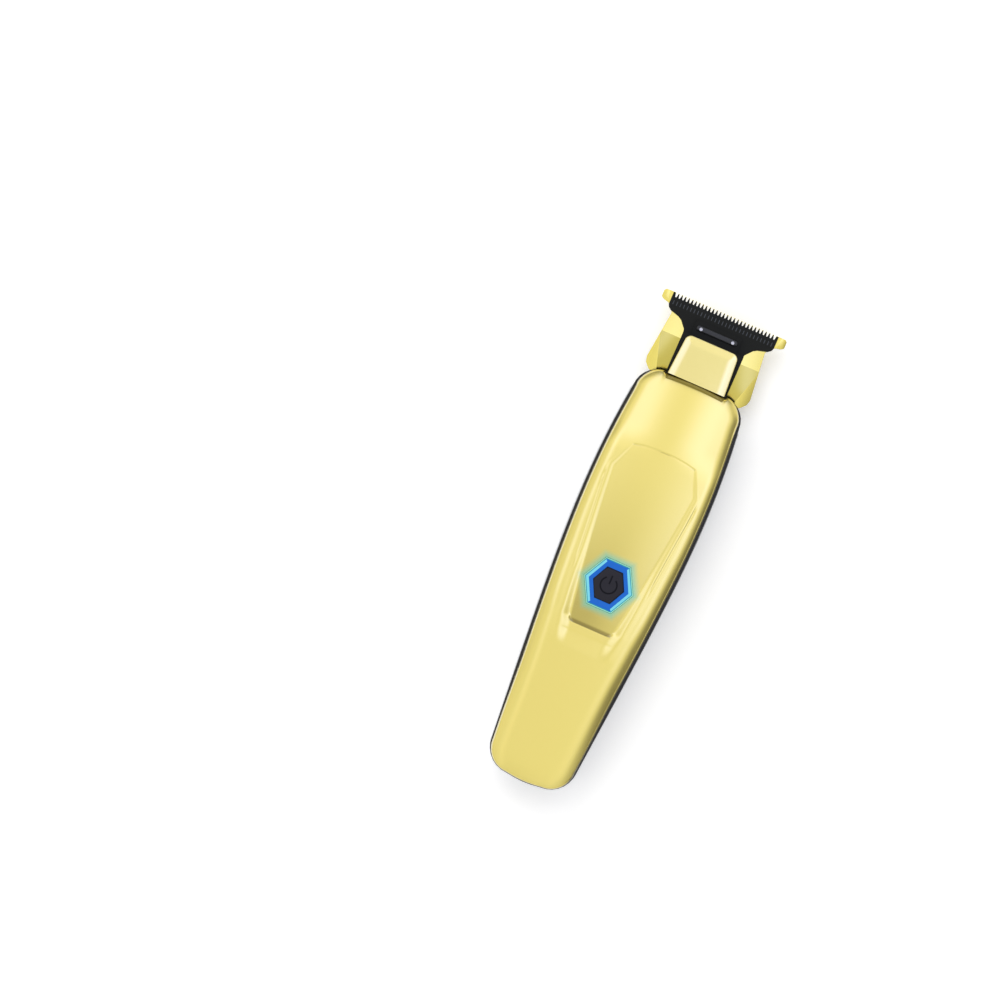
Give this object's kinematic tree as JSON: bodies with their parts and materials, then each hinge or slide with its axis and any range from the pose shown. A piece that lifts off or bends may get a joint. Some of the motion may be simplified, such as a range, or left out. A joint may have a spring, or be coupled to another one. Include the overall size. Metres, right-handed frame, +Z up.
{
  "type": "hair clipper",
  "caption": "Cordless hair clipper with a reciprocating T-blade, a gold metal casing with a raised thumb panel, and a lit hexagonal power button.",
  "frame": {"origin": "on the surface that the clipper lies on, under the middle of its whole length and width", "axes": "+Y towards the blade, +X to the right seen from the button side with the blade up, +Z up out of the button face"},
  "size_m": [0.0462, 0.176, 0.0337],
  "materials": {
    "gold_plate": "bright satin gold plating over a light metal shell",
    "gold_blade": "satin gold titanium-nitride coated steel",
    "silver_plate": "bright satin nickel plating over a light metal shell",
    "black_blade": "satin black diamond-like coating on steel",
    "black_moulding": "glossy black moulded plastic",
    "black_matte": "matt black moulded plastic",
    "button_black": "fine matt black plastic",
    "blue_light": "translucent light guide, lit blue",
    "steel": "turned and ground steel",
    "steel_dark": "blackened steel",
    "magnet": "sintered magnet",
    "laminations": "stacked steel laminations",
    "copper": "enamelled copper wire",
    "brass_cam": "machined brass",
    "rubber_black": "soft black rubber",
    "cage_tan": "tan moulded cage",
    "board_green": "green solder mask",
    "plunger_white": "white moulded plastic",
    "led_yellow": "phosphor-capped chip",
    "chip_black": "black chip package",
    "capacitor_can": "sleeved aluminium can",
    "connector_white": "ivory moulded plastic",
    "lead_red": "silicone lead insulation",
    "lead_mixed": "silicone lead insulation",
    "cell_wrap": "lithium-ion cell in a blue shrink sleeve",
    "nickel": "plain nickel strip",
    "contact_gold": "gold-plated contact"
  },
  "bodies": {
    "casing": {"fixed_blade": "gold_blade", "tension_spring": "steel", "blade_screws": "steel", "head_frame": "black_moulding", "head_screws": "steel", "neck_cover": "gold_plate", "front_shell": "gold_plate", "rear_shell": "silver_plate", "chassis": "black_matte", "shell_screws": "steel_dark", "stator_core": "laminations", "stator_coils": "copper", "sensor_board": "board_green", "motor_can": "steel", "motor_front_plate": "steel_dark", "motor_rear_cap": "steel_dark", "outer_races": "steel", "motor_screws": "steel", "motor_cushion": "rubber_black", "light_ring": "blue_light", "button_gasket": "rubber_black", "button_carrier": "black_matte", "switch_body": "black_matte", "control_board": "board_green", "board_screws": "steel", "led_chips": "led_yellow", "driver_chips": "chip_black", "board_capacitors": "capacitor_can", "motor_connector": "connector_white", "motor_leads": "lead_red", "battery_cell": "cell_wrap", "battery_tray": "black_matte", "battery_tabs": "nickel", "battery_leads": "lead_mixed", "charge_board": "board_green", "charge_socket": "steel", "charge_insert": "black_matte", "charge_contacts": "contact_gold", "charge_leads": "lead_mixed"},
    "rotor": {"eccentric_cam": "brass_cam", "drive_pin": "steel", "motor_shaft": "steel", "rotor_core": "steel", "rotor_magnet": "magnet", "inner_races": "steel"},
    "ball_train": {"bearing_balls": "steel", "bearing_cages": "cage_tan"},
    "cutter": {"cutter_blade": "black_blade", "cutter_guide": "black_moulding", "cutter_rivets": "steel"},
    "button": {"power_button": "button_black", "switch_plunger": "plunger_white"}
  },
  "joints": [
    {"name": "rotor_spin", "type": "hinge", "parent": "casing", "child": "rotor", "pos_m": [0, 0.03, 0.016], "axis": [0, 1, 0], "range_deg": [-90, 90]},
    {"name": "ball_train_spin", "type": "hinge", "parent": "casing", "child": "ball_train", "pos_m": [0, 0.03, 0.016], "axis": [0, 1, 0], "range_deg": [-40, 40]},
    {"name": "cutter_slide", "type": "slide", "parent": "casing", "child": "cutter", "axis": [1, 0, 0], "range_m": [-0.0014, 0.0014]},
    {"name": "button_press", "type": "slide", "parent": "casing", "child": "button", "axis": [0, 0, -1], "range_m": [0, 0.0006], "stiffness_N_per_m": 900, "springref_m": -0.0015}
  ],
  "couplings": [
    {"joint": "rotor_spin", "follows": "cutter_slide", "rad_per_m": 1122},
    {"joint": "ball_train_spin", "follows": "cutter_slide", "rad_per_m": 438.6}
  ]
}
